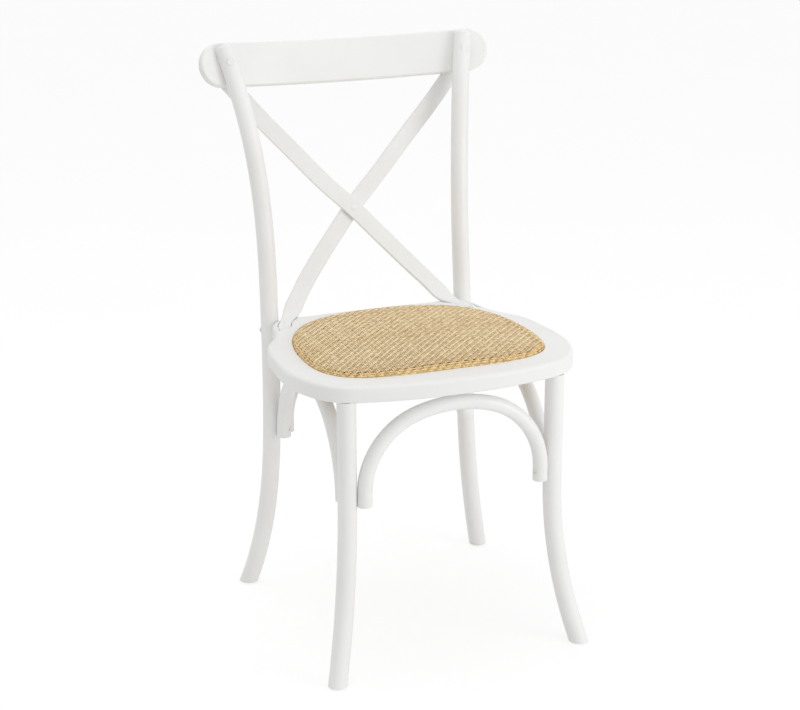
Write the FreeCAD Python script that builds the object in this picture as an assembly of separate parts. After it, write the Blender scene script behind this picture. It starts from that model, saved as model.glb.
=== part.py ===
import FreeCAD, Part
import math
import os

# Cross back dining chair. Millimetres, +Z up, front towards -Y, origin on the floor, see middleShift.

SEAT_TOP = 451.0
FRAME_THICK = 24.5
FRAME_EDGE_ROUND = 5.5
FRAME_UNDER_ROUND = 3.0
PAD_INNER_ROUND = 1.5
FRAME_HALF = [(0, -194), (50, -192.8), (96, -187.6), (139, -179), (171, -169), (193, -152), (208, -129),
              (220, -98), (226, -55), (223, -2), (214, 52), (202, 76), (187, 99), (177, 129), (171, 153),
              (165.5, 172), (151, 182.5), (122, 185), (70, 186.5), (0, 187)]
PAD_HALF = [(0, -147), (60, -147), (101, -144), (138, -134), (163, -117), (178, -90), (184.5, -55),
            (184, -15), (179.5, 25), (170, 62), (154, 98), (126, 128), (92, 146), (45, 156), (0, 158)]

PAD_GAP = 0.8
LEDGE_DEPTH = 12.0
LEDGE_WIDTH = 14.0
COVER_THICK = 1.6
COVER_WRAP = 22.0
SKIN_GAP = 0.2
CROWN = 13.5
CROWN_RADIUS = 2300.0
PAD_EDGE_ROUND = 7.0
PANEL_THICK = 9.0

LEG_RADIUS = 14.2
POST_TOP_RADIUS = 13.8
POST_TOP_ROUND = 5.0
POST_PATH = [(211.6, 209.4, -15), (188.6, 187, 80), (175.6, 179.2, 170), (169.6, 178.6, 265),
             (166, 188, 448), (166.4, 203.5, 600), (173, 221, 700), (187.3, 251.6, 800), (202.8, 280.5, 870)]

FRONT_LEG_X = 165.0
FRONT_LEG_Y = -156.0
FRONT_BEND_HEIGHT = 260.0
FRONT_SPLAY_X = 32.8
FRONT_SPLAY_Y = -41.0
TENON_RADIUS = 8.0
TENON_LENGTH = 17.0
TENON_GAP = 0.2

RAIL_LENGTH = 483.0
RAIL_HEIGHT = 68.0
RAIL_THICK = 18.0
RAIL_BOW = 29.0
RAIL_LEAN = 18.0
RAIL_END_Y = 275.0
RAIL_END_Z = 842.5
RAIL_EDGE_ROUND = 3.0
LAP_GAP = 0.15

SLAT_WIDTH = 27.0
SLAT_FOOT_WIDTH = 19.0
SLAT_THICK = 6.5
SLAT_CORNER = 1.1
SLAT_PASS_GAP = 0.4
SLAT_SIDE_GAP = 0.8
SLAT_SEAT_GAP = 0.1
SLAT_BODY = [(187, 288.6, 804), (150.1, 284.4, 760), (113.4, 280, 720), (76.6, 274.4, 680),
             (39.9, 267.6, 640), (0, 257, 601), (-30.6, 245.2, 568), (-53.4, 236.5, 544),
             (-75.9, 225.7, 520), (-98.2, 212.2, 496), (-119.7, 194.6, 472), (-130.5, 185.4, 460)]
SLAT_STATIONS = 30
SLAT_CROSS_SPAN = 58.0
SLAT_HEAD_X = 214.0
SLAT_HEAD_RISE = -1.0
SLAT_NARROW_Z = 464.0
SLAT_NARROW_RUN = 14.0
SLAT_FOOT = [(-138, 177.5, 453.8), (-146, 165.5, 449.2), (-153.5, 150.5, 0), (-159.5, 135, 0), (-164, 120.5, 0)]

ARCH_RADIUS = 11.25
ARCH_END_Z = 264.0
ARCH_CROWN_Z = 404.8
CROSS_ARCH = dict(shoulder=116.0, turn=72.0)
SIDE_ARCH = dict(shoulder=138.5, turn=46.0)
ARCH_SEAT_GAP = 0.2
FRONT_ARCH_ANGLE = 198.0
SIDE_FRONT_ANGLE = 84.0
SIDE_REAR_ANGLE = 240.0
ARCH_SCREW_RISE = 16.0

SCREW_GAP = 0.25
ARCH_SCREW = dict(head=4.0, shank=2.2, length=29.5, sink=1.2)
RAIL_SCREW = dict(head=4.4, shank=2.4, length=34.0, sink=0.0)
SLAT_SCREW = dict(head=3.6, shank=1.9, length=17.0, sink=0.2)
FOOT_SCREW = dict(head=3.6, shank=1.9, length=19.0, sink=0.2)
PANEL_SCREW = dict(head=3.8, shank=2.0, length=20.0, sink=0.6)
RAIL_SCREW_Z = 845.0
PLUG_RADIUS = 6.0
PLUG_LENGTH = 5.0
PLUG_PROUD = 0.2
PLUG_GAP = 0.1

BOLT_Z = 433.0
BOLT_ANGLE = 42.0
BOLT_RADIUS = 3.0
BOLT_LENGTH = 60.0
CAP_RADIUS = 5.0
CAP_HEIGHT = 3.8
BARREL_RADIUS = 5.0
BARREL_LENGTH = 16.0
BARREL_REACH = 34.0

CROSS_BOLT_RADIUS = 2.5
CROSS_CAP_RADIUS = 5.0
CROSS_CAP_HEIGHT = 1.0

GLIDE_RADIUS = 10.0
GLIDE_THICK = 2.0
GLIDE_NAIL_RADIUS = 1.5
GLIDE_NAIL_LENGTH = 14.0

FRAME_BOTTOM = SEAT_TOP - FRAME_THICK
LEDGE_Z = SEAT_TOP - LEDGE_DEPTH
PANEL_BOTTOM = LEDGE_Z + COVER_THICK + SKIN_GAP
PANEL_TOP = PANEL_BOTTOM + PANEL_THICK
BIG = 700.0


def vec(x, y, z):
    return FreeCAD.Vector(x, y, z)


def mirrored(shape):
    return shape.mirror(vec(0, 0, 0), vec(1, 0, 0))


def curve(points, closed=False):
    spline = Part.BSplineCurve()
    spline.interpolate(Points=points, PeriodicFlag=closed)
    return spline


def rod(start, direction, length, radius):
    return Part.makeCylinder(radius, length, start, direction)


# Closed loops of the seat, from one half outline.

def loopPoints(half):
    left = [(-x, y) for x, y in reversed(half) if x]
    return [vec(x, y, 0) for x, y in half] + [vec(x, y, 0) for x, y in left]


def insetLoop(half, inset, z):
    base = curve(loopPoints(half), True)
    count = 40
    points = []
    for i in range(count):
        t = base.FirstParameter + (base.LastParameter - base.FirstParameter) * i / count
        along = base.tangent(t)[0]
        inward = vec(-along.y, along.x, 0).normalize()
        points.append(base.value(t) + inward * inset + vec(0, 0, z))
    return Part.Wire([curve(points, True).toShape()])


def prism(half, inset, z0, z1):
    face = Part.Face(insetLoop(half, inset, z0))
    return face.extrude(vec(0, 0, z1 - z0))


def dome(half, inset, z0, crown, edgeRound):
    # A pad with a crowned top and an edge drawn down to the frame.
    centreY = (half[0][1] + half[-1][1]) / 2
    ball = Part.makeSphere(CROWN_RADIUS, vec(0, centreY, SEAT_TOP + crown - CROWN_RADIUS))
    pad = prism(half, inset, z0, SEAT_TOP + 2 * CROWN).common(ball)
    top = [e for e in pad.Edges if e.BoundBox.ZMin > SEAT_TOP]
    return pad.makeFillet(edgeRound, top)


# Round rods: posts, legs and arches.

def taperedRod(path, radius0, radius1):
    wire = Part.Wire([path.toShape()])
    sweep = Part.BRepOffsetAPI.MakePipeShell(wire)
    ends = ((path.FirstParameter, radius0), (path.LastParameter, radius1))
    for t, radius in ends:
        circle = Part.Circle(path.value(t), path.tangent(t)[0], radius)
        sweep.add(Part.Wire([circle.toShape()]), False, False)
    sweep.build()
    sweep.makeSolid()
    return sweep.shape()


def aboveFloor(shape):
    below = Part.makeBox(2 * BIG, 2 * BIG, 100, vec(-BIG, -BIG, GLIDE_THICK - 100))
    return shape.cut(below)


def postCurve():
    return curve([vec(*p) for p in POST_PATH])


def postAt(z):
    path = postCurve()
    low, high = path.FirstParameter, path.LastParameter
    for step in range(50):
        mid = (low + high) / 2
        if path.value(mid).z < z:
            low = mid
        else:
            high = mid
    return path.value(low)


def frontLegPath():
    splay = math.hypot(FRONT_SPLAY_X, FRONT_SPLAY_Y)
    side = vec(FRONT_SPLAY_X / splay, FRONT_SPLAY_Y / splay, 0)
    bend = (FRONT_BEND_HEIGHT ** 2 + splay ** 2) / (2 * splay)
    knee = vec(FRONT_LEG_X, FRONT_LEG_Y, FRONT_BEND_HEIGHT)
    sweepAngle = math.asin(FRONT_BEND_HEIGHT / bend) + 0.02
    arcPoints = []
    for part in (0.0, 0.5, 1.0):
        a = sweepAngle * part
        arcPoints.append(knee + side * (bend * (1 - math.cos(a))) - vec(0, 0, bend * math.sin(a)))
    straight = Part.LineSegment(vec(FRONT_LEG_X, FRONT_LEG_Y, FRAME_BOTTOM), knee)
    foot = Part.Arc(*arcPoints)
    return Part.Wire([straight.toShape(), foot.toShape()]), arcPoints[-1]


def frontLeg():
    wire, foot = frontLegPath()
    top = vec(FRONT_LEG_X, FRONT_LEG_Y, FRAME_BOTTOM)
    circle = Part.Circle(top, vec(0, 0, 1), LEG_RADIUS)
    leg = aboveFloor(wire.makePipeShell([Part.Wire([circle.toShape()])], True, True))
    tenon = rod(top, vec(0, 0, 1), TENON_LENGTH, TENON_RADIUS)
    return leg.fuse(tenon).removeSplitter()


def footCentre(shape):
    flat = [f for f in shape.Faces if abs(f.CenterOfMass.z - GLIDE_THICK) < 0.05]
    return flat[0].CenterOfMass


# Fasteners.

def screwParts(start, direction, size):
    # A countersunk wood screw whose head lies sunk below the start point.
    d = vec(direction.x, direction.y, direction.z).normalize()
    top = start + d * size["sink"]
    cone = size["head"] - size["shank"]
    head = Part.makeCone(size["head"], size["shank"], cone, top, d)
    shank = rod(top + d * cone, d, size["length"] - cone, size["shank"])
    bore = Part.makeCone(size["head"] + SCREW_GAP, size["shank"] + SCREW_GAP, cone, top, d)
    entry = rod(start - d * 6, d, 6 + size["sink"], size["head"] + SCREW_GAP)
    hole = rod(top + d * (cone - 0.1), d, size["length"] - cone + 0.3, size["shank"] + SCREW_GAP)
    return head.fuse(shank), entry.fuse([bore, hole])


def domeCap(base, direction, radius, height):
    sphere = (radius ** 2 + height ** 2) / (2 * height)
    ball = Part.makeSphere(sphere, base + direction * (height - sphere))
    return ball.common(rod(base, direction, height + 1, radius))


# Top rail: a bent plate with rounded ends, leaning back with the posts.

def railRadius():
    return ((RAIL_LENGTH / 2) ** 2 + RAIL_BOW ** 2) / (2 * RAIL_BOW)


def railPlacement():
    lean = math.radians(RAIL_LEAN)
    base = vec(0, RAIL_END_Y + RAIL_BOW * math.cos(lean), RAIL_END_Z - RAIL_BOW * math.sin(lean))
    return FreeCAD.Placement(base, FreeCAD.Rotation(vec(1, 0, 0), -RAIL_LEAN))


def slotPlate(length, height):
    r = height / 2
    half = length / 2 - r
    a, b = vec(-half, 0, r), vec(half, 0, r)
    c, d = vec(half, 0, -r), vec(-half, 0, -r)
    edges = [Part.LineSegment(a, b).toShape(), Part.Arc(b, vec(half + r, 0, 0), c).toShape(),
             Part.LineSegment(c, d).toShape(), Part.Arc(d, vec(-half - r, 0, 0), a).toShape()]
    face = Part.Face(Part.Wire(edges))
    face.translate(vec(0, -120, 0))
    return face.extrude(vec(0, 240, 0))


def bentPlate(front, back, grow):
    radius = railRadius()
    low = vec(0, -radius, -RAIL_HEIGHT)
    ring = rod(low, vec(0, 0, 1), 2 * RAIL_HEIGHT, radius + back)
    ring = ring.cut(rod(low, vec(0, 0, 1), 2 * RAIL_HEIGHT, radius - front))
    return ring.common(slotPlate(RAIL_LENGTH + 2 * grow, RAIL_HEIGHT + 2 * grow))


def railBlank():
    plate = bentPlate(RAIL_THICK / 2, RAIL_THICK / 2, 0)
    plate = plate.makeFillet(RAIL_EDGE_ROUND, plate.Edges)
    plate.Placement = railPlacement()
    return plate


def lapCutter():
    cutter = bentPlate(RAIL_THICK / 2 + LAP_GAP, 60, LAP_GAP)
    cutter.Placement = railPlacement()
    return cutter


def railNormal():
    lean = math.radians(RAIL_LEAN)
    return vec(0, math.cos(lean), -math.sin(lean))


def railPoint(x, rise, depth):
    # A point at width x, height rise along the plate and depth behind its middle surface.
    radius = railRadius()
    a = math.asin(x / radius)
    r = radius + depth
    local = vec(r * math.sin(a), r * math.cos(a) - radius, rise)
    return railPlacement().multVec(local)


# Cross slats: flat bent strips from the back of the rail to a housing in the seat frame.

def slatPoints():
    head = railPoint(SLAT_HEAD_X, SLAT_HEAD_RISE, RAIL_THICK / 2 + SLAT_THICK / 2 + SLAT_SEAT_GAP)
    footZ = SEAT_TOP - SLAT_THICK / 2
    foot = [vec(x, y, z or footZ) for x, y, z in SLAT_FOOT]
    return [head] + [vec(*p) for p in SLAT_BODY] + foot


def slatStations(passOffset):
    path = curve(slatPoints())
    stations = []
    for i in range(SLAT_STATIONS + 1):
        t = path.FirstParameter + (path.LastParameter - path.FirstParameter) * i / SLAT_STATIONS
        p = path.value(t)
        along = path.tangent(t)[0]
        slope = vec(0, along.y, along.z).normalize()
        normal = vec(0, -slope.z, slope.y)
        across = along.cross(normal)
        passing = passOffset * math.exp(-(p.x / SLAT_CROSS_SPAN) ** 4)
        narrow = min(max((SLAT_NARROW_Z - p.z) / SLAT_NARROW_RUN, 0.0), 1.0)
        width = SLAT_WIDTH + (SLAT_FOOT_WIDTH - SLAT_WIDTH) * narrow * narrow * (3 - 2 * narrow)
        stations.append((p + normal * passing, across, normal, width))
    return stations


def slatSection(station, low, high, grow):
    # A flat section with its four corners taken off.
    p, across, normal, width = station
    w = width / 2 + grow
    c = SLAT_CORNER
    corners = [(w - c, high), (w, high - c), (w, low + c), (w - c, low),
               (c - w, low), (-w, low + c), (-w, high - c), (c - w, high)]
    points = [p + across * u + normal * v for u, v in corners]
    return Part.makePolygon(points + [points[0]])


def roundedEnd(strip, centre, outward, normal, radius):
    across = outward.cross(normal)
    block = Part.makeBox(60, 60, 80)
    placement = FreeCAD.Placement()
    placement.Rotation = FreeCAD.Rotation(outward, across, normal, "XYZ")
    placement.Base = centre - across * 30 - normal * 40
    block.Placement = placement
    return strip.cut(block.cut(rod(centre - normal * 40, normal, 80, radius)))


def slatStrip(passOffset, low, high, grow):
    stations = slatStations(passOffset)
    strip = Part.makeLoft([slatSection(s, low, high, grow) for s in stations], True, False)
    head, foot = stations[1], stations[-2]
    headOut = (stations[0][0] - stations[2][0]).normalize()
    footOut = (stations[-1][0] - stations[-3][0]).normalize()
    headInset = head[0] - headOut * (SLAT_WIDTH / 2 - (stations[0][0] - head[0]).Length)
    footRadius = SLAT_FOOT_WIDTH / 2 + grow
    footInset = foot[0] - footOut * (SLAT_FOOT_WIDTH / 2 - (stations[-1][0] - foot[0]).Length)
    strip = roundedEnd(strip, headInset, headOut, head[2], SLAT_WIDTH / 2 + grow)
    return roundedEnd(strip, footInset, footOut, foot[2], footRadius)


def slat(passOffset):
    return slatStrip(passOffset, -SLAT_THICK / 2, SLAT_THICK / 2, 0)


def slatHousing():
    cutter = slatStrip(0, -SLAT_THICK / 2 - 14, SLAT_THICK / 2 + SLAT_SEAT_GAP, SLAT_SIDE_GAP)
    return cutter.fuse(mirrored(cutter))


def railHousing():
    # The slat heads are let into the back of the bowed rail.
    cutter = slatStrip(0, -SLAT_THICK / 2 - SLAT_SEAT_GAP, SLAT_THICK / 2 + 20, SLAT_SEAT_GAP)
    cutter = cutter.common(Part.makeBox(BIG, BIG, BIG, vec(0, 0, RAIL_END_Z - RAIL_HEIGHT)))
    return cutter.fuse(mirrored(cutter))


# Arches: bent rods in upright planes.

def archPath(start, end, form):
    # Straight up, round the shoulder, then a flatter crown, and the same down the other side.
    middle = (start + end) * 0.5
    out = (end - start) * 0.5
    reach = out.Length
    out.normalize()
    height = ARCH_CROWN_Z - ARCH_END_Z
    shoulder = form["shoulder"]
    a = math.radians(form["turn"])
    crown = shoulder + (reach - shoulder) / math.cos(a)
    straight = height - crown + (crown - shoulder) * math.sin(a)

    def at(side, x, z):
        return middle + out * (side * x) + vec(0, 0, z)

    def onShoulder(side, turn):
        return at(side, reach - shoulder + shoulder * math.cos(turn), straight + shoulder * math.sin(turn))

    edges = [Part.LineSegment(at(-1, reach, 0), at(-1, reach, straight)).toShape(),
             Part.Arc(onShoulder(-1, 0), onShoulder(-1, a / 2), onShoulder(-1, a)).toShape(),
             Part.Arc(onShoulder(-1, a), at(0, 0, height), onShoulder(1, a)).toShape(),
             Part.Arc(onShoulder(1, a), onShoulder(1, a / 2), onShoulder(1, 0)).toShape(),
             Part.LineSegment(at(1, reach, straight), at(1, reach, 0)).toShape()]
    return Part.Wire(edges)


def arch(start, end, form):
    circle = Part.Circle(start, vec(0, 0, 1), ARCH_RADIUS)
    path = archPath(start, end, form)
    return path.makePipeShell([Part.Wire([circle.toShape()])], True, True)


def besideLeg(centre, angle):
    a = math.radians(angle)
    reach = LEG_RADIUS + ARCH_RADIUS + ARCH_SEAT_GAP
    return vec(centre.x + reach * math.cos(a), centre.y + reach * math.sin(a), ARCH_END_Z)


def archEnds():
    front = vec(FRONT_LEG_X, FRONT_LEG_Y, 0)
    rear = postAt(ARCH_END_Z + ARCH_SCREW_RISE)
    frontEnd = besideLeg(front, FRONT_ARCH_ANGLE)
    rearEnd = besideLeg(rear, 180)
    sideFront = besideLeg(front, 180 - SIDE_FRONT_ANGLE)
    sideRear = besideLeg(rear, SIDE_REAR_ANGLE)
    return front, rear, frontEnd, rearEnd, sideFront, sideRear


def flipX(p):
    return vec(-p.x, p.y, p.z)


def archScrews():
    front, rear, frontEnd, rearEnd, sideFront, sideRear = archEnds()
    solids, bores = [], []
    for leg, end in ((front, frontEnd), (rear, rearEnd), (front, sideFront), (rear, sideRear)):
        level = ARCH_END_Z + ARCH_SCREW_RISE
        towards = vec(leg.x - end.x, leg.y - end.y, 0).normalize()
        start = vec(end.x, end.y, level) - towards * ARCH_RADIUS
        solid, bore = screwParts(start, towards, ARCH_SCREW)
        solids += [solid, mirrored(solid)]
        bores += [bore, mirrored(bore)]
    return solids, bores


# Post, rail and seat fixings.

def boltDirection():
    a = math.radians(BOLT_ANGLE)
    return vec(-math.cos(a), -math.sin(a), 0)


def postBolts():
    centre = postAt(BOLT_Z)
    d = boltDirection()
    outer = centre - d * (LEG_RADIUS - 0.3)
    shank = rod(outer, d, BOLT_LENGTH, BOLT_RADIUS)
    bolt = shank.fuse(domeCap(outer, d * -1, CAP_RADIUS, CAP_HEIGHT))
    bore = rod(outer, d, BOLT_LENGTH + 1, BOLT_RADIUS + SCREW_GAP)
    seat = rod(outer, d * -1, 20, CAP_RADIUS + SCREW_GAP)
    nutBase = centre + d * (LEG_RADIUS + BARREL_REACH) - vec(0, 0, BARREL_LENGTH / 2)
    nutBase.z = FRAME_BOTTOM
    nut = rod(nutBase, vec(0, 0, 1), BARREL_LENGTH - 4, BARREL_RADIUS)
    nutBore = rod(nutBase, vec(0, 0, 1), BARREL_LENGTH - 4 + SCREW_GAP, BARREL_RADIUS + SCREW_GAP)
    nut = nut.cut(bore)
    return bolt, bore.fuse(seat), nut, nutBore


def railFixings():
    centre = postAt(RAIL_SCREW_Z)
    d = railNormal()
    face = centre - d * (POST_TOP_RADIUS + 0.2)
    plug = rod(face - d * PLUG_PROUD, d, PLUG_LENGTH + PLUG_PROUD, PLUG_RADIUS)
    screw, bore = screwParts(face + d * PLUG_LENGTH, d, RAIL_SCREW)
    plugBore = rod(face - d * 20, d, 20 + PLUG_LENGTH, PLUG_RADIUS + PLUG_GAP)
    bore = rod(face + d * PLUG_LENGTH, d, RAIL_SCREW["length"] + 0.3, RAIL_SCREW["shank"] + SCREW_GAP).fuse(bore)
    return plug, screw, plugBore.fuse(bore)


def slatFixings():
    stations = slatStations(0)
    p, across, normal, width = stations[1]
    head, headBore = screwParts(p + normal * (SLAT_THICK / 2), normal * -1, SLAT_SCREW)
    p, across, normal, width = stations[-2]
    foot, footBore = screwParts(p - normal * (SLAT_THICK / 2), normal, FOOT_SCREW)
    heads, feet = [head, mirrored(head)], [foot, mirrored(foot)]
    return heads, [headBore, mirrored(headBore)], feet, [footBore, mirrored(footBore)]


def crossFixing():
    stations = slatStations(0)
    p, across, normal, width = min(stations, key=lambda s: abs(s[0].x))
    centre = vec(0, p.y, p.z)
    reach = SLAT_THICK + SLAT_PASS_GAP / 2
    shank = rod(centre - normal * reach, normal, 2 * reach, CROSS_BOLT_RADIUS)
    front = domeCap(centre - normal * reach, normal * -1, CROSS_CAP_RADIUS, CROSS_CAP_HEIGHT)
    back = domeCap(centre + normal * reach, normal, CROSS_CAP_RADIUS, CROSS_CAP_HEIGHT)
    bore = rod(centre - normal * 20, normal, 40, CROSS_BOLT_RADIUS + SCREW_GAP)
    return front.fuse(shank), back, bore


def panelScrews():
    solids, bores = [], []
    base = curve(loopPoints(PAD_HALF), True)
    span = base.LastParameter - base.FirstParameter
    for part in (0.0, 0.25, 0.5, 0.75):
        t = base.FirstParameter + span * part
        along = base.tangent(t)[0]
        inward = vec(-along.y, along.x, 0).normalize()
        p = base.value(t) + inward * (LEDGE_WIDTH / 2 - 1)
        solid, bore = screwParts(vec(p.x, p.y, FRAME_BOTTOM), vec(0, 0, 1), PANEL_SCREW)
        solids.append(solid)
        bores.append(bore)
    return solids, bores


# Seat frame, panel, foam and woven cover.

def seatFrame(cuts):
    ring = prism(FRAME_HALF, 0, FRAME_BOTTOM, SEAT_TOP)
    top = [e for e in ring.Edges if abs(e.CenterOfMass.z - SEAT_TOP) < 0.01]
    under = [e for e in ring.Edges if abs(e.CenterOfMass.z - FRAME_BOTTOM) < 0.01]
    ring = ring.makeFillet(FRAME_EDGE_ROUND, top)
    under = [e for e in ring.Edges if abs(e.CenterOfMass.z - FRAME_BOTTOM) < 0.01]
    ring = ring.makeFillet(FRAME_UNDER_ROUND, under)
    ring = ring.cut(prism(PAD_HALF, -PAD_GAP, LEDGE_Z, SEAT_TOP + 5))
    ring = ring.cut(prism(PAD_HALF, LEDGE_WIDTH, FRAME_BOTTOM - 5, LEDGE_Z + 1))
    rim = [e for e in ring.Edges if abs(e.CenterOfMass.z - SEAT_TOP) < 0.01]
    rim = [max(rim, key=lambda e: -e.BoundBox.XLength)]
    ring = ring.makeFillet(PAD_INNER_ROUND, rim)
    for cutter in cuts:
        ring = ring.cut(cutter)
    return ring


def postPockets():
    path = postCurve()
    pocket = taperedRod(path, LEG_RADIUS + TENON_GAP, POST_TOP_RADIUS + TENON_GAP)
    return pocket.fuse(mirrored(pocket))


def tenonBores():
    top = vec(FRONT_LEG_X, FRONT_LEG_Y, FRAME_BOTTOM - 5)
    bore = rod(top, vec(0, 0, 1), TENON_LENGTH + 5 + TENON_GAP, TENON_RADIUS + TENON_GAP)
    return bore.fuse(mirrored(bore))


def seatCover():
    inner = dome(PAD_HALF, COVER_THICK, LEDGE_Z + COVER_THICK, CROWN - COVER_THICK, PAD_EDGE_ROUND - COVER_THICK)
    opening = prism(PAD_HALF, COVER_WRAP, LEDGE_Z - 1, LEDGE_Z + COVER_THICK + 1)
    return dome(PAD_HALF, 0, LEDGE_Z, CROWN, PAD_EDGE_ROUND).cut(inner).cut(opening)


def seatCore():
    skin = COVER_THICK + SKIN_GAP
    return dome(PAD_HALF, skin, PANEL_BOTTOM, CROWN - skin, PAD_EDGE_ROUND - skin)


def slab(z0, z1):
    return Part.makeBox(2 * BIG, 2 * BIG, z1 - z0, vec(-BIG, -BIG, z0))


def glide(foot):
    disc = rod(vec(foot.x, foot.y, 0), vec(0, 0, 1), GLIDE_THICK, GLIDE_RADIUS)
    nail = rod(vec(foot.x, foot.y, GLIDE_THICK), vec(0, 0, 1), GLIDE_NAIL_LENGTH, GLIDE_NAIL_RADIUS)
    bore = rod(vec(foot.x, foot.y, 0), vec(0, 0, 1), GLIDE_THICK + GLIDE_NAIL_LENGTH + SCREW_GAP,
               GLIDE_NAIL_RADIUS + SCREW_GAP)
    return disc.fuse(nail), bore


def backPost():
    post = aboveFloor(taperedRod(postCurve(), LEG_RADIUS, POST_TOP_RADIUS))
    top = [e for e in post.Edges if e.CenterOfMass.z > POST_PATH[-1][2] - 3 and e.Closed]
    post = post.makeFillet(POST_TOP_ROUND, top)
    return post.cut(lapCutter())


def cutAll(shape, cutters):
    for cutter in cutters:
        shape = shape.cut(cutter)
    return shape


def export(name, shapes, shiftY):
    shape = shapes if isinstance(shapes, Part.Shape) else Part.makeCompound(shapes)
    solids = shape.Solids
    out = solids[0].copy() if len(solids) == 1 else Part.makeCompound(solids)
    out.translate(vec(0, shiftY, 0))
    out.exportStep("parts/" + name + ".step")
    print(name, len(solids), "valid", shape.isValid(), "volume", round(shape.Volume / 1000, 2), "cm3")


def middleShift(nodes):
    # The origin goes under the middle of the chair's overall depth.
    boxes = [nodes[name].optimalBoundingBox(False) for name in ("right_front_leg", "top_rail", "cross_slat_back")]
    return -(min(b.YMin for b in boxes) + max(b.YMax for b in boxes)) / 2


def main():
    nodes = {}

    def add(name, shape):
        nodes[name] = shape

    archSolids, archBores = archScrews()
    bolt, boltBore, nut, nutBore = postBolts()
    plug, railScrew, railBore = railFixings()
    slatScrews, slatBores, footScrews, footBores = slatFixings()
    crossBolt, crossNut, crossBore = crossFixing()
    panelSolids, panelBores = panelScrews()

    leg = frontLeg()
    legGlide, legGlideBore = glide(footCentre(leg))
    leg = cutAll(leg, archBores + [legGlideBore])
    add("right_front_leg", leg)
    add("left_front_leg", mirrored(leg))

    post = backPost()
    postGlide, postGlideBore = glide(footCentre(post))
    post = cutAll(post, archBores + [boltBore, railBore, postGlideBore])
    add("right_back_post", post)
    add("left_back_post", mirrored(post))
    glides = [legGlide, mirrored(legGlide), postGlide, mirrored(postGlide)]
    add("foot_glides", glides)

    rail = cutAll(railBlank(), [railHousing(), railBore, mirrored(railBore)] + slatBores)
    add("top_rail", rail)
    add("rail_screws", [railScrew, mirrored(railScrew)])
    add("rail_plugs", [plug, mirrored(plug)])

    passing = (SLAT_THICK + SLAT_PASS_GAP) / 2
    backSlat = cutAll(slat(passing), slatBores + footBores + [crossBore])
    frontSlat = cutAll(mirrored(slat(-passing)), slatBores + footBores + [crossBore])
    add("cross_slat_back", backSlat)
    add("cross_slat_front", frontSlat)
    add("slat_head_screws", slatScrews)
    add("slat_foot_screws", footScrews)
    add("cross_bolt", crossBolt)
    add("cross_nut", crossNut)

    cuts = [postPockets(), tenonBores(), slatHousing(), boltBore, mirrored(boltBore), nutBore,
            mirrored(nutBore)] + footBores + panelBores
    add("seat_frame", seatFrame(cuts))
    add("post_bolts", [bolt, mirrored(bolt)])
    add("post_barrel_nuts", [nut, mirrored(nut)])

    core = seatCore()
    add("seat_cover", cutAll(seatCover(), panelBores))
    add("seat_panel", cutAll(core.common(slab(PANEL_BOTTOM, PANEL_TOP)), panelBores))
    add("seat_foam", core.common(slab(PANEL_TOP, SEAT_TOP + 50)))
    add("panel_screws", panelSolids)

    front, rear, frontEnd, rearEnd, sideFront, sideRear = archEnds()
    add("front_arch", cutAll(arch(flipX(frontEnd), frontEnd, CROSS_ARCH), archBores))
    add("rear_arch", cutAll(arch(flipX(rearEnd), rearEnd, CROSS_ARCH), archBores))
    side = cutAll(arch(sideFront, sideRear, SIDE_ARCH), archBores)
    add("right_side_arch", side)
    add("left_side_arch", mirrored(side))
    add("arch_screws", archSolids)

    os.makedirs("parts", exist_ok=True)
    shiftY = middleShift(nodes)
    print("shift", round(shiftY, 4))
    for name in nodes:
        export(name, nodes[name], shiftY)


main()
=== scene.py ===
import math
import random

import bmesh
import bpy
import numpy as np
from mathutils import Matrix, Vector


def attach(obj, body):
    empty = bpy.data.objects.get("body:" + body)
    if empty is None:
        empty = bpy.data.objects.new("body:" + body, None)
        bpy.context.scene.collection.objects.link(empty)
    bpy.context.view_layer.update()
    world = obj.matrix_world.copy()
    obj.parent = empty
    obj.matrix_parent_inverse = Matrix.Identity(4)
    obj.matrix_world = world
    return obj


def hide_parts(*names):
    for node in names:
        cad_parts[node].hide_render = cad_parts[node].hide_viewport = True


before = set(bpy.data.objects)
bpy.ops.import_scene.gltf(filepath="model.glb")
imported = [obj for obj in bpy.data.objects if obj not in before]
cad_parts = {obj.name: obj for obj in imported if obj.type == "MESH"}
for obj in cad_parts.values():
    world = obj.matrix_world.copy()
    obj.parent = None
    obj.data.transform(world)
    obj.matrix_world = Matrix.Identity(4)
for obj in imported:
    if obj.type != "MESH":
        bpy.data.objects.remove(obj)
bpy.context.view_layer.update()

print("chair frame loaded:", len(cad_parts), "nodes")


# Helpers.

def deselectAll():
    if bpy.context.object and bpy.context.object.mode != "OBJECT":
        bpy.ops.object.mode_set(mode="OBJECT")
    bpy.ops.object.select_all(action="DESELECT")


def pick(obj):
    deselectAll()
    obj.select_set(True)
    bpy.context.view_layer.objects.active = obj
    return obj


def named(obj, name, material):
    obj.name = name
    obj.data.name = name
    obj.data.materials.clear()
    obj.data.materials.append(material)
    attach(obj, "root")
    return obj


def newMaterial(name):
    mat = bpy.data.materials.new(name)
    mat.use_nodes = True
    tree = mat.node_tree
    shader = tree.nodes["Principled BSDF"]
    return mat, tree, shader


def addNode(tree, kind, **values):
    node = tree.nodes.new(kind)
    for key, value in values.items():
        if key in node.inputs:
            node.inputs[key].default_value = value
        else:
            setattr(node, key, value)
    return node


def objectCoords(tree, scale=(1, 1, 1), turn=(0, 0, 0)):
    coords = addNode(tree, "ShaderNodeTexCoord")
    mapping = addNode(tree, "ShaderNodeMapping")
    mapping.inputs["Scale"].default_value = scale
    mapping.inputs["Rotation"].default_value = turn
    tree.links.new(coords.outputs["Object"], mapping.inputs["Vector"])
    return mapping.outputs["Vector"]


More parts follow.
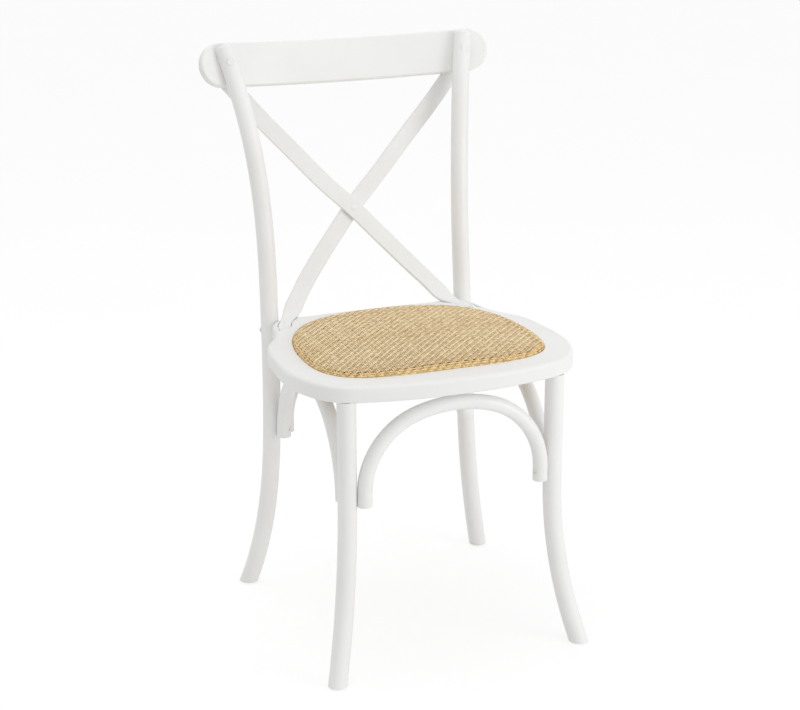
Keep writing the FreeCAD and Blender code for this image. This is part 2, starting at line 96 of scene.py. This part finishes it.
def noiseOn(tree, vector, scale, detail=3.0, roughness=0.5):
    noise = addNode(tree, "ShaderNodeTexNoise", Scale=scale, Detail=detail, Roughness=roughness)
    tree.links.new(vector, noise.inputs["Vector"])
    return noise.outputs["Fac"]


def ramp(tree, source, stops):
    node = addNode(tree, "ShaderNodeValToRGB")
    elements = node.color_ramp.elements
    while len(elements) < len(stops):
        elements.new(0.5)
    for element, (place, color) in zip(elements, stops):
        element.position = place
        element.color = (*color, 1)
    tree.links.new(source, node.inputs["Fac"])
    return node.outputs["Color"]


def mapped(tree, source, low, high, fromLow=0.0, fromHigh=1.0):
    node = addNode(tree, "ShaderNodeMapRange")
    node.inputs["From Min"].default_value = fromLow
    node.inputs["From Max"].default_value = fromHigh
    node.inputs["To Min"].default_value = low
    node.inputs["To Max"].default_value = high
    tree.links.new(source, node.inputs["Value"])
    return node.outputs["Result"]


def mixColor(tree, factor, colorA, colorB, mode="MIX"):
    node = addNode(tree, "ShaderNodeMix", data_type="RGBA", blend_type=mode)
    sockets = (node.inputs["Factor"], node.inputs[6], node.inputs[7])
    for socket, value in zip(sockets, (factor, colorA, colorB)):
        if isinstance(value, bpy.types.NodeSocket):
            tree.links.new(value, socket)
        elif isinstance(value, float):
            socket.default_value = value
        else:
            socket.default_value = (*value, 1)
    return node.outputs[2]


def bumpFrom(tree, height, strength, distance, base=None):
    node = addNode(tree, "ShaderNodeBump", Strength=strength, Distance=distance)
    tree.links.new(height, node.inputs["Height"])
    if base is not None:
        tree.links.new(base, node.inputs["Normal"])
    return node.outputs["Normal"]


# The camera stands where the photograph's mirror symmetry puts it.

camera = {
    "place": (-1.03879, -2.58308, 1.31323),
    "turn": (math.pi / 2 - 0.31325, 0, -0.3831),
    "lens": 84.756,
}
deselectAll()
bpy.ops.object.camera_add(location=camera["place"], rotation=camera["turn"])
chairCamera = bpy.context.object
chairCamera.name = "chairCamera"
chairCamera.data.lens = camera["lens"]
chairCamera.data.sensor_width = 36
chairCamera.data.clip_end = 60
bpy.context.scene.camera = chairCamera
bpy.context.scene.view_settings.view_transform = "Standard"


# Materials.

whitePaint = {
    "light": (0.85, 0.85, 0.838),
    "dull": (0.815, 0.813, 0.798),
    "roughness": (0.36, 0.5),
    "grainDepth": 0.00012,
    "peelDepth": 0.00004,
}


def makePaint(name, grainScale):
    # satin paint over wood: a trace of the grain below, and a fine orange peel
    mat, tree, shader = newMaterial(name)
    vector = objectCoords(tree)
    grainVector = objectCoords(tree, grainScale)
    cloud = noiseOn(tree, vector, 9.0, 4.0)
    grain = noiseOn(tree, grainVector, 1.0, 6.0, 0.6)
    peel = noiseOn(tree, vector, 900.0, 2.0)
    tone = mixColor(tree, mapped(tree, cloud, 0.0, 1.0, 0.35, 0.7), whitePaint["light"], whitePaint["dull"])
    speck = mapped(tree, grain, 0.0, 0.16, 0.62, 0.8)
    tone = mixColor(tree, speck, tone, (0.75, 0.745, 0.72))
    tree.links.new(tone, shader.inputs["Base Color"])
    low, high = whitePaint["roughness"]
    tree.links.new(mapped(tree, cloud, low, high, 0.3, 0.7), shader.inputs["Roughness"])
    normal = bumpFrom(tree, grain, 0.35, whitePaint["grainDepth"])
    normal = bumpFrom(tree, peel, 0.25, whitePaint["peelDepth"], normal)
    tree.links.new(normal, shader.inputs["Normal"])
    shader.inputs["Specular IOR Level"].default_value = 0.42
    shader.inputs["Coat Weight"].default_value = 0.06
    shader.inputs["Coat Roughness"].default_value = 0.3
    return mat


uprightPaint = makePaint("uprightPaint", (260, 260, 9))
railPaint = makePaint("railPaint", (8, 240, 240))
seatPaint = makePaint("seatPaint", (10, 220, 220))
slatPaint = makePaint("slatPaint", (90, 200, 90))
archPaint = makePaint("archPaint", (60, 60, 60))
hardwarePaint = makePaint("hardwarePaint", (400, 400, 400))


def makeSteel():
    mat, tree, shader = newMaterial("zincSteel")
    vector = objectCoords(tree, (500, 500, 500))
    fine = noiseOn(tree, vector, 1.0, 3.0)
    tone = ramp(tree, fine, [(0.3, (0.5, 0.5, 0.5)), (0.7, (0.66, 0.66, 0.65))])
    tree.links.new(tone, shader.inputs["Base Color"])
    tree.links.new(mapped(tree, fine, 0.28, 0.45), shader.inputs["Roughness"])
    shader.inputs["Metallic"].default_value = 1.0
    return mat


def makePlywood():
    mat, tree, shader = newMaterial("panelPlywood")
    vector = objectCoords(tree, (6, 150, 150))
    grain = noiseOn(tree, vector, 1.0, 6.0, 0.65)
    tone = ramp(tree, grain, [(0.3, (0.42, 0.28, 0.15)), (0.52, (0.62, 0.46, 0.28)),
                              (0.75, (0.74, 0.58, 0.38))])
    tree.links.new(tone, shader.inputs["Base Color"])
    tree.links.new(bumpFrom(tree, grain, 0.4, 0.0003), shader.inputs["Normal"])
    tree.links.new(mapped(tree, grain, 0.6, 0.8), shader.inputs["Roughness"])
    return mat


def makeGlide():
    mat, tree, shader = newMaterial("footGlide")
    vector = objectCoords(tree, (300, 300, 300))
    fine = noiseOn(tree, vector, 1.0, 4.0)
    tone = ramp(tree, fine, [(0.3, (0.62, 0.62, 0.6)), (0.7, (0.74, 0.74, 0.72))])
    tree.links.new(tone, shader.inputs["Base Color"])
    tree.links.new(mapped(tree, fine, 0.5, 0.7), shader.inputs["Roughness"])
    return mat


rattan = {
    "weft": {"deep": (0.44, 0.28, 0.125), "mid": (0.74, 0.56, 0.315),
             "pale": (0.93, 0.76, 0.475), "top": (0.96, 0.84, 0.58)},
    "warp": {"deep": (0.37, 0.225, 0.095), "mid": (0.67, 0.485, 0.25),
             "pale": (0.84, 0.65, 0.37), "top": (0.90, 0.73, 0.45)},
    "amber": (0.90, 0.60, 0.215),
    "shadow": (0.20, 0.115, 0.045),
}


def makeRattan(name, tones):
    # each strand has its own tone, carries painted shade where it dives under its neighbours, and its fibres
    # run along it
    mat, tree, shader = newMaterial(name)
    tone = addNode(tree, "ShaderNodeAttribute", attribute_name="strandTone").outputs["Fac"]
    edge = addNode(tree, "ShaderNodeAttribute", attribute_name="edgeTone").outputs["Fac"]
    diveShade = addNode(tree, "ShaderNodeAttribute", attribute_name="paintedDiveShade").outputs["Fac"]
    uv = addNode(tree, "ShaderNodeUVMap", uv_map="strand").outputs["UV"]
    along = addNode(tree, "ShaderNodeMapping")
    along.inputs["Scale"].default_value = (70, 2600, 1)
    tree.links.new(uv, along.inputs["Vector"])
    fibre = noiseOn(tree, along.outputs["Vector"], 1.0, 4.0, 0.6)
    lengths = addNode(tree, "ShaderNodeMapping")
    lengths.inputs["Scale"].default_value = (210, 90, 1)
    tree.links.new(uv, lengths.inputs["Vector"])
    blotch = noiseOn(tree, lengths.outputs["Vector"], 1.0, 3.0, 0.6)
    patches = noiseOn(tree, objectCoords(tree), 30.0, 5.0, 0.62)
    color = ramp(tree, tone, [(0.0, tones["deep"]), (0.2, tones["mid"]), (0.6, tones["pale"]),
                              (1.0, tones["top"])])
    color = mixColor(tree, mapped(tree, patches, 0.0, 0.5, 0.5, 0.75), color, tones["mid"])
    color = mixColor(tree, mapped(tree, edge, 0.0, 0.55), color, rattan["amber"])
    color = mixColor(tree, mapped(tree, blotch, 0.0, 0.85, 0.46, 0.68), color, tones["deep"])
    color = mixColor(tree, mapped(tree, fibre, 0.0, 0.35, 0.55, 0.8), color, tones["deep"])
    # painted shade: the strand darkens towards the shadow colour where it dives under
    color = mixColor(tree, mapped(tree, diveShade, 0.0, 0.75, 0.35, 1.0), color, rattan["shadow"])
    tree.links.new(color, shader.inputs["Base Color"])
    tree.links.new(mapped(tree, fibre, 0.42, 0.66), shader.inputs["Roughness"])
    tree.links.new(bumpFrom(tree, fibre, 0.5, 0.0002), shader.inputs["Normal"])
    shader.inputs["Specular IOR Level"].default_value = 0.35
    return mat


def makeEyeShade():
    # painted shade: a dark core colour that stands in for the shade seen in the eyes of the weave
    mat, tree, shader = newMaterial("weaveEyeShade")
    vector = objectCoords(tree, (700, 700, 700))
    fine = noiseOn(tree, vector, 1.0, 4.0)
    tone = ramp(tree, fine, [(0.3, (0.16, 0.105, 0.055)), (0.7, (0.30, 0.205, 0.115))])
    tree.links.new(tone, shader.inputs["Base Color"])
    tree.links.new(mapped(tree, fine, 0.75, 0.92), shader.inputs["Roughness"])
    tree.links.new(bumpFrom(tree, fine, 0.5, 0.0003), shader.inputs["Normal"])
    return mat


steel = makeSteel()
plywood = makePlywood()
glidePlastic = makeGlide()
warpRattan = makeRattan("warpRattan", rattan["warp"])
weftRattan = makeRattan("weftRattan", rattan["weft"])
eyeShade = makeEyeShade()

finishes = {
    "left_front_leg": uprightPaint, "right_front_leg": uprightPaint,
    "left_back_post": uprightPaint, "right_back_post": uprightPaint,
    "top_rail": railPaint, "seat_frame": seatPaint,
    "cross_slat_front": slatPaint, "cross_slat_back": slatPaint,
    "front_arch": archPaint, "rear_arch": archPaint,
    "left_side_arch": archPaint, "right_side_arch": archPaint,
    "rail_plugs": hardwarePaint, "arch_screws": hardwarePaint, "slat_head_screws": hardwarePaint,
    "slat_foot_screws": hardwarePaint, "cross_bolt": hardwarePaint, "cross_nut": hardwarePaint,
    "post_bolts": hardwarePaint,
    "rail_screws": steel, "post_barrel_nuts": steel, "panel_screws": steel,
    "seat_panel": plywood, "foot_glides": glidePlastic,
}
for nodeName, finish in finishes.items():
    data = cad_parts[nodeName].data
    data.materials.clear()
    data.materials.append(finish)
print("finishes on the carried-over nodes")


# The seat pad's outline and crowned top.

pad = {
    "half": [(0, -147), (60, -147), (101, -144), (138, -134), (163, -117), (178, -90), (184.5, -55),
             (184, -15), (179.5, 25), (170, 62), (154, 98), (126, 128), (92, 146), (45, 156), (0, 158)],
    "shiftY": -0.0547859,
    "frameTop": 0.451,
    "crown": 0.0135,
    "crownRadius": 2.3,
    "edgeRound": 0.0085,
    "rings": (0.0006, 0.002, 0.0042, 0.0075, 0.012, 0.02, 0.034, 0.055, 0.082, 0.112, 0.138),
    "foot": 0.4425,
    "under": 0.0016,
}


def closedSpline(points, samples):
    # a smooth closed curve through the points, spaced by the distance between them
    p = np.array(points, float)
    n = len(p)
    step = np.linalg.norm(np.roll(p, -1, 0) - p, axis=1)
    matrix = np.zeros((n, n))
    right = np.zeros((n, 2))
    for i in range(n):
        h0, h1 = step[i - 1], step[i]
        matrix[i, i - 1] += h0
        matrix[i, i] += 2 * (h0 + h1)
        matrix[i, (i + 1) % n] += h1
        right[i] = 6 * ((p[(i + 1) % n] - p[i]) / h1 - (p[i] - p[i - 1]) / h0)
    bend = np.linalg.solve(matrix, right)
    out = []
    starts = np.concatenate(([0], np.cumsum(step)))
    for s in np.linspace(0, starts[-1], samples, endpoint=False):
        i = min(int(np.searchsorted(starts, s, side="right")) - 1, n - 1)
        h, j = step[i], (i + 1) % n
        b = (s - starts[i]) / h
        a = 1 - b
        out.append(a * p[i] + b * p[j] + ((a ** 3 - a) * bend[i] + (b ** 3 - b) * bend[j]) * h * h / 6)
    return np.array(out)


def padOutline(samples):
    left = [(-x, y) for x, y in reversed(pad["half"]) if x]
    loop = closedSpline(pad["half"] + left, samples) / 1000
    loop[:, 1] += pad["shiftY"]
    return loop


outline = padOutline(360)
padMiddle = (outline.min(0) + outline.max(0)) / 2


def edgeDistance(points):
    # distance to the pad's outline, positive inside
    a = outline
    b = np.roll(outline, -1, 0)
    ab = b - a
    best = np.full(len(points), 1e9)
    inside = np.zeros(len(points), bool)
    for i in range(len(a)):
        ap = points - a[i]
        t = np.clip((ap @ ab[i]) / (ab[i] @ ab[i]), 0, 1)
        best = np.minimum(best, np.linalg.norm(ap - t[:, None] * ab[i], axis=1))
        crosses = (a[i][1] > points[:, 1]) != (b[i][1] > points[:, 1])
        where = a[i][0] + (points[:, 1] - a[i][1]) * ab[i][0] / (ab[i][1] if ab[i][1] else 1e-9)
        inside ^= crosses & (points[:, 0] < where)
    return np.where(inside, best, -best)


def padTop(points, inset=0.0):
    # height of the crowned top, rounded down to the frame at its edge
    d = np.maximum(edgeDistance(points) - inset, 0)
    away = points - padMiddle
    height = pad["frameTop"] + pad["crown"] - (away ** 2).sum(1) / (2 * pad["crownRadius"])
    r = pad["edgeRound"]
    drop = np.where(d < r, r - np.sqrt(np.maximum(r * r - (r - np.minimum(d, r)) ** 2, 0)), 0)
    return height - drop


def makePadCore():
    deselectAll()
    count = 144
    bpy.ops.mesh.primitive_circle_add(vertices=count, radius=0.1, fill_type="NGON",
                                      location=(0, 0, pad["foot"]))
    core = bpy.context.object
    bpy.ops.object.transform_apply(location=True, rotation=True, scale=True)
    bpy.ops.object.mode_set(mode="EDIT")
    bpy.ops.mesh.select_all(action="SELECT")
    bpy.ops.mesh.extrude_region_move(TRANSFORM_OT_translate={"value": (0, 0, 0.01)})
    rings = pad["rings"]
    for ring in rings:
        bpy.ops.mesh.inset(thickness=0.001)
    bpy.ops.mesh.poke()
    bpy.ops.object.mode_set(mode="OBJECT")
    mesh = core.data
    loop = padOutline(count)
    bm = bmesh.new()
    bm.from_mesh(mesh)
    centre = padMiddle
    bm.verts.ensure_lookup_table()
    place = np.array([v.co[:2] for v in bm.verts])
    radius = np.linalg.norm(place, axis=1)
    levels = sorted(set(np.round(radius, 4)), reverse=True)
    angles = np.arctan2(place[:, 1], place[:, 0])
    startAngle = math.atan2(loop[0][1] - centre[1], loop[0][0] - centre[0])
    for v, r, a in zip(bm.verts, radius, angles):
        level = levels.index(round(float(r), 4))
        k = int(round(((a - startAngle) % (2 * math.pi)) / (2 * math.pi) * count)) % count
        if r < 1e-5:
            spot = centre
        else:
            inset = 0 if level == 0 else rings[level - 1]
            away = loop[k] - centre
            spot = centre + away * max(0.0, 1 - (pad["under"] + inset) / np.linalg.norm(away))
        low = level == 0 and v.co.z < pad["foot"] + 0.005
        v.co.x, v.co.y = float(spot[0]), float(spot[1])
        v.co.z = pad["foot"] if low else 0
    tops = [v for v in bm.verts if v.co.z == 0]
    spots = np.array([v.co[:2] for v in tops])
    for v, z in zip(tops, padTop(spots, pad["under"])):
        v.co.z = float(z) - pad["under"]
    bmesh.ops.recalc_face_normals(bm, faces=bm.faces)
    bm.to_mesh(mesh)
    bm.free()
    bpy.ops.object.transform_apply(location=True, rotation=True, scale=True)
    bpy.ops.object.shade_smooth()
    # the pad core carries the painted eye shade under the strands
    return named(core, "seat_pad", eyeShade)


padCore = makePadCore()
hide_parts("seat_foam")
print("pad core:", len(padCore.data.polygons), "faces")


# The woven rattan, strand by strand.

weave = {
    "pitch": 0.0034,
    "width": 0.0028,
    "thick": 0.0012,
    "lift": 0.0007,
    "seed": 11,
    "borderTurns": (38, 60, 82),
    "borderDrop": 0.0030,
    "borderLift": 0.00045,
    # how deep the painted dive shade is on the border strands
    "borderDiveShade": 0.45,
}


def strandPlaces(alongX):
    # index, offset and both ends of every straight strand inside the outline
    axis = 1 if alongX else 0
    other = 1 - axis
    low, high = outline[:, axis].min(), outline[:, axis].max()
    count = int((high - low - 0.001) / weave["pitch"])
    first = (low + high) / 2 - (count - 1) * weave["pitch"] / 2
    nextPoints = np.roll(outline, -1, 0)
    lines = []
    for k in range(count):
        c = first + k * weave["pitch"]
        hit = (outline[:, axis] > c) != (nextPoints[:, axis] > c)
        t = (c - outline[hit, axis]) / (nextPoints[hit, axis] - outline[hit, axis])
        ends = outline[hit, other] + t * (nextPoints[hit, other] - outline[hit, other])
        if len(ends) >= 2 and ends.max() - ends.min() > 0.02:
            lines.append((k, c, ends.min(), ends.max()))
    return lines


def firstStrand(axis):
    low, high = outline[:, axis].min(), outline[:, axis].max()
    count = int((high - low - 0.001) / weave["pitch"])
    return (low + high) / 2 - (count - 1) * weave["pitch"] / 2


def newRibbons():
    return {"verts": [], "faces": [], "uv": [], "strandTone": [], "edgeTone": [], "paintedDiveShade": []}


def addRibbon(store, centre, across, up, tone, edge, diveShade, closed=False):
    # one flat strand with a low arched face, laid along its centre line
    half = weave["width"] / 2 * random.uniform(0.93, 1.05)
    thick = weave["thick"]
    section = [(-half, 0.0), (-half * 0.55, thick * 0.42), (half * 0.55, thick * 0.42), (half, 0.0),
               (0.0, -thick * 0.35)]
    sides = len(section)
    count = len(centre)
    base = len(store["verts"])
    run = np.concatenate(([0], np.cumsum(np.linalg.norm(np.diff(centre, axis=0), axis=1))))
    start = random.uniform(0, 3)
    for i in range(count):
        for u, v in section:
            store["verts"].append(tuple(float(c) for c in centre[i] + across[i] * u + up[i] * v))
            store["uv"].append((start + run[i], u + start))
            store["strandTone"].append(tone)
            store["edgeTone"].append(float(edge[i]))
            store["paintedDiveShade"].append(float(diveShade[i]))
    for i in range(count if closed else count - 1):
        here, there = base + i * sides, base + (i + 1) % count * sides
        for j in range(sides):
            k = (j + 1) % sides
            store["faces"].append((here + j, here + k, there + k, there + j))
    if not closed:
        store["faces"].append(tuple(base + j for j in range(sides)))
        store["faces"].append(tuple(base + (count - 1) * sides + j for j in reversed(range(sides))))


def unit(rows):
    return rows / np.maximum(np.linalg.norm(rows, axis=1), 1e-9)[:, None]


def randomTone():
    tone = min(max(random.gauss(0.56, 0.17), 0.05), 1.0)
    return tone * 0.4 if random.random() < 0.06 else tone


def finishRibbons(store, name, material):
    mesh = bpy.data.meshes.new(name)
    mesh.from_pydata(store["verts"], [], store["faces"])
    for attribute in ("strandTone", "edgeTone", "paintedDiveShade"):
        layer = mesh.attributes.new(attribute, "FLOAT", "POINT")
        layer.data.foreach_set("value", store[attribute])
    uvLayer = mesh.uv_layers.new(name="strand")
    corners = np.zeros(len(mesh.loops), int)
    mesh.loops.foreach_get("vertex_index", corners)
    uvLayer.data.foreach_set("uv", np.array(store["uv"])[corners].ravel())
    strands = bpy.data.objects.new(name, mesh)
    bpy.context.collection.objects.link(strands)
    pick(strands)
    bpy.ops.object.mode_set(mode="EDIT")
    bpy.ops.mesh.select_all(action="SELECT")
    bpy.ops.mesh.normals_make_consistent(inside=False)
    bpy.ops.object.mode_set(mode="OBJECT")
    bpy.ops.object.shade_smooth_by_angle(angle=math.radians(50))
    return named(strands, name, material)


def makeStrands(name, alongX, material):
    random.seed(weave["seed"] + alongX)
    pitch = weave["pitch"]
    crossFirst = firstStrand(0 if alongX else 1)
    across = np.array((0.0, 1.0, 0.0) if alongX else (1.0, 0.0, 0.0))
    nearEdge = [0.00005, 0.0005, 0.0012, 0.0023]
    store = newRibbons()
    for k, c, low, high in strandPlaces(alongX):
        s = crossFirst + np.arange(math.ceil((low - crossFirst) / pitch * 2),
                                   math.floor((high - crossFirst) / pitch * 2) + 1) * pitch / 2
        s = s[(s > low + 0.0035) & (s < high - 0.0035)]
        s = np.concatenate(([low + d for d in nearEdge], s, [high - d for d in reversed(nearEdge)]))
        line = np.full(len(s), c + random.uniform(-0.00012, 0.00012))
        flat = np.stack((s, line), 1) if alongX else np.stack((line, s), 1)
        # over two and under two, one step on with each strand
        step = (s - crossFirst) / pitch - k if alongX else k - (s - crossFirst) / pitch + 2
        wave = np.clip(np.sin((step + 0.5) * math.pi / 2) * 1.45, -1, 1)
        fromEnd = np.minimum(s - low, high - s)
        wave = wave * np.clip(fromEnd / 0.004, 0, 1)
        z = padTop(flat) + weave["lift"] * wave
        down = pad["foot"] + 0.0005
        centre = np.column_stack((flat, z))
        centre = np.vstack(((*flat[0], down), centre, (*flat[-1], down)))
        along = unit(np.gradient(centre, axis=0))
        up = unit(np.cross(along, across))
        outward = np.column_stack((centre[:, :2] - padMiddle, np.where(np.abs(up[:, 2]) < 0.2, 0, 1e3)))
        up[(up * outward).sum(1) < 0] *= -1
        edge = np.clip(1 - fromEnd / 0.016, 0, 1)
        # the last ribbon value is painted shade, strongest where the strand dives under
        addRibbon(store, centre, np.tile(across, (len(centre), 1)), up, randomTone(),
                  np.pad(edge, 1, mode="edge"), np.pad((1 - wave) / 2, 1, mode="edge"))
    return finishRibbons(store, name, material)


def makeBorder():
    # strands that run round the pad, woven through the ones that go down over its edge
    random.seed(weave["seed"] + 5)
    samples = 620
    loop = padOutline(samples)
    forward = unit(np.roll(loop, -1, 0) - np.roll(loop, 1, 0))
    outward = np.column_stack((forward[:, 1], -forward[:, 0]))
    if ((loop[0] - padMiddle) * outward[0]).sum() < 0:
        outward = -outward
    radius = pad["edgeRound"]
    perimeter = np.linalg.norm(np.roll(loop, -1, 0) - loop, axis=1).sum()
    waves = round(perimeter / weave["pitch"] / 4)
    store = newRibbons()
    rows = [(math.radians(turn), 0.0) for turn in weave["borderTurns"]] + [(math.pi / 2, weave["borderDrop"])]
    for row, (turn, drop) in enumerate(rows):
        inset = radius * (1 - math.sin(turn))
        spot = loop - outward * inset
        z = padTop(spot) - drop
        up = np.column_stack((outward * math.sin(turn), np.full(samples, math.cos(turn))))
        phase = np.arange(samples) / samples * waves * 2 * math.pi + row * math.pi / 2
        wave = np.clip(np.sin(phase) * 1.45, -1, 1)
        centre = np.column_stack((spot, z)) + up * (weave["borderLift"] * wave)[:, None]
        along = np.column_stack((forward, np.zeros(samples)))
        # the last ribbon value is painted shade where the border strand dives under
        addRibbon(store, centre, unit(np.cross(up, along)), up, randomTone(), np.ones(samples),
                  (1 - wave) / 2 * weave["borderDiveShade"], True)
    return finishRibbons(store, "rattan_border", weftRattan)


weft = makeStrands("rattan_weft", True, weftRattan)
warp = makeStrands("rattan_warp", False, warpRattan)
border = makeBorder()
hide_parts("seat_cover")
print("weave:", len(strandPlaces(True)), "weft and", len(strandPlaces(False)), "warp strands")


# Floor, light and background.

stage = {
    "floorSize": 60,
    "skyForLight": 0.74,
    "floorWhite": 0.72,
    "floorGlow": 1.07,
    "aim": (0, -0.05, 0.45),
    "keyPlace": (2.2, -2.6, 1.1),
    "keySize": 1.6,
    "keyPower": 30,
    "topPlace": (-0.3, 0.2, 3.0),
    "topAim": (0, 0, 0.4),
    "topSize": 1.8,
    "topPower": 15,
}


def makeFloor():
    deselectAll()
    bpy.ops.mesh.primitive_plane_add(size=stage["floorSize"], location=(0, 0, 0))
    floor = bpy.context.object
    floor.name = "studioFloor"
    mat, tree, shader = newMaterial("studioFloor")
    fine = noiseOn(tree, objectCoords(tree), 3.0, 2.0)
    tone = ramp(tree, fine, [(0.3, (0.93, 0.93, 0.93)), (0.7, (0.95, 0.95, 0.95))])
    tree.links.new(tone, shader.inputs["Base Color"])
    shader.inputs["Roughness"].default_value = 0.9
    shader.inputs["Specular IOR Level"].default_value = 0.0
    path = addNode(tree, "ShaderNodeLightPath")
    glow = addNode(tree, "ShaderNodeEmission", Strength=stage["floorGlow"])
    share = addNode(tree, "ShaderNodeMath", operation="MULTIPLY")
    share.inputs[1].default_value = stage["floorWhite"]
    tree.links.new(path.outputs["Is Camera Ray"], share.inputs[0])
    mix = addNode(tree, "ShaderNodeMixShader")
    tree.links.new(share.outputs[0], mix.inputs[0])
    tree.links.new(shader.outputs[0], mix.inputs[1])
    tree.links.new(glow.outputs[0], mix.inputs[2])
    # seen from below the floor is clear, so the chair's underside can be looked at
    clear = addNode(tree, "ShaderNodeBsdfTransparent")
    facing = addNode(tree, "ShaderNodeNewGeometry")
    sides = addNode(tree, "ShaderNodeMixShader")
    tree.links.new(facing.outputs["Backfacing"], sides.inputs[0])
    tree.links.new(mix.outputs[0], sides.inputs[1])
    tree.links.new(clear.outputs[0], sides.inputs[2])
    tree.links.new(sides.outputs[0], tree.nodes["Material Output"].inputs["Surface"])
    floor.data.materials.append(mat)
    return floor


def makeSky():
    world = bpy.data.worlds.new("studioSky")
    bpy.context.scene.world = world
    world.use_nodes = True
    tree = world.node_tree
    tree.nodes.clear()
    out = addNode(tree, "ShaderNodeOutputWorld")
    white = addNode(tree, "ShaderNodeBackground", Strength=1.0)
    soft = addNode(tree, "ShaderNodeBackground", Strength=stage["skyForLight"])
    white.inputs["Color"].default_value = (1, 1, 1, 1)
    soft.inputs["Color"].default_value = (1, 1, 1, 1)
    path = addNode(tree, "ShaderNodeLightPath")
    seen = addNode(tree, "ShaderNodeMath", operation="MAXIMUM")
    tree.links.new(path.outputs["Is Camera Ray"], seen.inputs[0])
    tree.links.new(path.outputs["Is Glossy Ray"], seen.inputs[1])
    mix = addNode(tree, "ShaderNodeMixShader")
    tree.links.new(seen.outputs[0], mix.inputs[0])
    tree.links.new(soft.outputs[0], mix.inputs[1])
    tree.links.new(white.outputs[0], mix.inputs[2])
    tree.links.new(mix.outputs[0], out.inputs["Surface"])


def makeLamp(name, place, target, size, power):
    deselectAll()
    bpy.ops.object.light_add(type="AREA", location=place)
    lamp = bpy.context.object
    lamp.name = name
    lamp.data.size = size
    lamp.data.energy = power
    lamp.rotation_euler = (Vector(target) - Vector(place)).to_track_quat("-Z", "Y").to_euler()
    return lamp


makeFloor()
makeSky()
makeLamp("keySoftbox", stage["keyPlace"], stage["aim"], stage["keySize"], stage["keyPower"])
makeLamp("topSoftbox", stage["topPlace"], stage["topAim"], stage["topSize"], stage["topPower"])
print("stage and lamps set")
